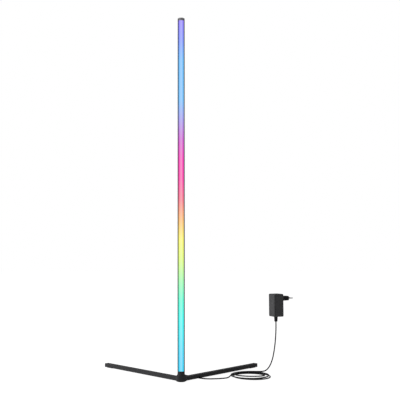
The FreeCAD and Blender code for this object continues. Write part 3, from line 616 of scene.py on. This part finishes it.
coil_steps = int(round(COIL_TURNS * POINTS_PER_TURN))
coil_points = coil_line(np.linspace(0, COIL_TURNS, coil_steps + 1))
route = np.vstack([run_points, coil_points, rise_points]) * MM
print("points of the lead:", len(route), "of which in the coil:", len(coil_points))

# %% Curve of the lead


def smooth_cord(name, points, diameter):
    """A round cord on one NURBS line of order three through its control points."""
    curve = bpy.data.curves.new(name, "CURVE")
    curve.dimensions = "3D"
    spline = curve.splines.new("NURBS")
    spline.points.add(len(points) - 1)
    spline.points.foreach_set("co", np.column_stack([points, np.ones(len(points))]).ravel())
    spline.order_u = 3
    spline.use_endpoint_u = True
    spline.resolution_u = 6
    curve.bevel_depth = diameter / 2
    curve.bevel_resolution = 4
    curve.use_fill_caps = True
    piece = bpy.data.objects.new(name, curve)
    bpy.context.scene.collection.objects.link(piece)
    return piece


lead = smooth_cord("lead", route, CORD_DIAMETER * MM)
lead.data.materials.append(soft_rubber("cord_cover", (0.009, 0.009, 0.010), roughness=0.55))
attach(lead, BODY)
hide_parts("cord_run", "cord_coil", "cord_rise")
print("lead is one curve,", CORD_DIAMETER, "mm thick")

# %% [markdown]
# ## Strain reliefs
#
# Where the lead leaves its plug and the adapter, a soft tapered sleeve keeps
# it from kinking. Its outline is turned about the lead: a taper cut by rings.

# %% Turned pieces


def turned_piece(name, along, radius, start, axis, sides=48):
    """A closed solid of revolution: point = start + axis s + r (cos a, sin a) across the axis."""
    axis = np.array(axis, float)
    axis /= np.linalg.norm(axis)
    helper = np.array((1.0, 0, 0)) if abs(axis[0]) < 0.9 else np.array((0, 1.0, 0))
    side = np.cross(axis, helper)
    side /= np.linalg.norm(side)
    up = np.cross(axis, side)
    along, radius = np.asarray(along, float), np.asarray(radius, float)
    angle = np.linspace(0, 2 * np.pi, sides, endpoint=False)
    circle = np.cos(angle)[:, None] * side + np.sin(angle)[:, None] * up
    rings = (np.asarray(start, float) + along[:, None, None] * axis
             + radius[:, None, None] * circle[None])
    count = len(along)
    low = np.asarray(start, float) + along[0] * axis
    high = np.asarray(start, float) + along[-1] * axis
    points = np.vstack([rings.reshape(-1, 3), low, high])
    i, j = np.meshgrid(np.arange(count - 1), np.arange(sides), indexing="ij")
    k = (j + 1) % sides
    quads = np.stack([i * sides + j, i * sides + k, (i + 1) * sides + k, (i + 1) * sides + j], -1)
    j = np.arange(sides)
    k = (j + 1) % sides
    first = np.stack([k, j, np.full(sides, count * sides)], -1)
    last = np.stack([(count - 1) * sides + j, (count - 1) * sides + k,
                     np.full(sides, count * sides + 1)], -1)
    mesh = bpy.data.meshes.new(name)
    mesh.from_pydata(points.tolist(), [], quads.reshape(-1, 4).tolist() + first.tolist()
                     + last.tolist())
    mesh.update()
    piece = bpy.data.objects.new(name, mesh)
    bpy.context.scene.collection.objects.link(piece)
    return piece


def ringed_taper(length, wide, narrow, rings, depth, collar, shoulder=0.0, tip=None):
    """Outline of a strain relief: a straight taper with rings cut into it.

    radius(s) = wide + (narrow - wide) s / straight, less depth inside each groove.
    A shoulder rounds its end as a quarter ellipse down to the tip's radius.
    """
    along = np.linspace(0, length, 181)
    straight = length - shoulder
    radius = wide + (narrow - wide) * np.minimum(along / straight, 1)
    pitch = (straight - collar - 2 * MM) / rings
    phase = (along - collar) / pitch
    inside = (along > collar) & (phase < rings)
    wave = 0.5 - 0.5 * np.cos(2 * np.pi * phase)
    groove = np.clip((wave - 0.35) / 0.35, 0, 1)
    radius = radius - np.where(inside, groove, 0) * depth
    if shoulder:
        down = np.clip((along - straight) / shoulder, 0, 1)
        return along, np.where(down > 0, tip + (narrow - tip) * np.sqrt(1 - down ** 2), radius)
    edge = 0.6 * MM
    soft = np.sqrt(np.clip(1 - (1 - np.clip((length - along) / edge, 0, 1)) ** 2, 0, 1))
    return along, radius - (1 - soft) * 0.4 * MM


def finish_piece(piece, material, slot, *replaced):
    """Smooth shading, finish, body and the pieces of the construction it stands for."""
    piece.data.polygons.foreach_set("use_smooth", [True] * len(piece.data.polygons))
    piece.data.materials.append(material)
    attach(piece, BODY)
    if replaced:
        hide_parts(*replaced)


# outlines in mm: wide and narrow radius, rings, depth of a ring, plain collar
INLET_RELIEF = (3.7 * MM, 2.9 * MM, 4, 0.45 * MM, 1.0 * MM)
ADAPTER_RELIEF = (7.8 * MM, 6.6 * MM, 3, 0.5 * MM, 2.0 * MM)
ADAPTER_SHOULDER = 5.5 * MM
ADAPTER_TIP = 3.0 * MM

boot_low, boot_high = node_box("plug_boot")
start = ((boot_low[0] + boot_high[0]) / 2, boot_low[1], INLET_HEIGHT * MM)
along, radius = ringed_taper(boot_high[1] - boot_low[1], *INLET_RELIEF)
inlet_boot = turned_piece("inlet_boot", along, radius, start, (0, 1, 0))
finish_piece(inlet_boot, soft_moulding, "black_moulding", "plug_boot")

relief_low, relief_high = node_box("adapter_boot")
start = ((relief_low[0] + relief_high[0]) / 2, (relief_low[1] + relief_high[1]) / 2, relief_high[2])
along, radius = ringed_taper(relief_high[2] - relief_low[2], *ADAPTER_RELIEF,
                             shoulder=ADAPTER_SHOULDER, tip=ADAPTER_TIP)
adapter_relief = turned_piece("adapter_relief", along, radius, start, (0, 0, -1))
finish_piece(adapter_relief, soft_moulding, "black_moulding", "adapter_boot")
print("strain reliefs:", inlet_boot.name, adapter_relief.name)
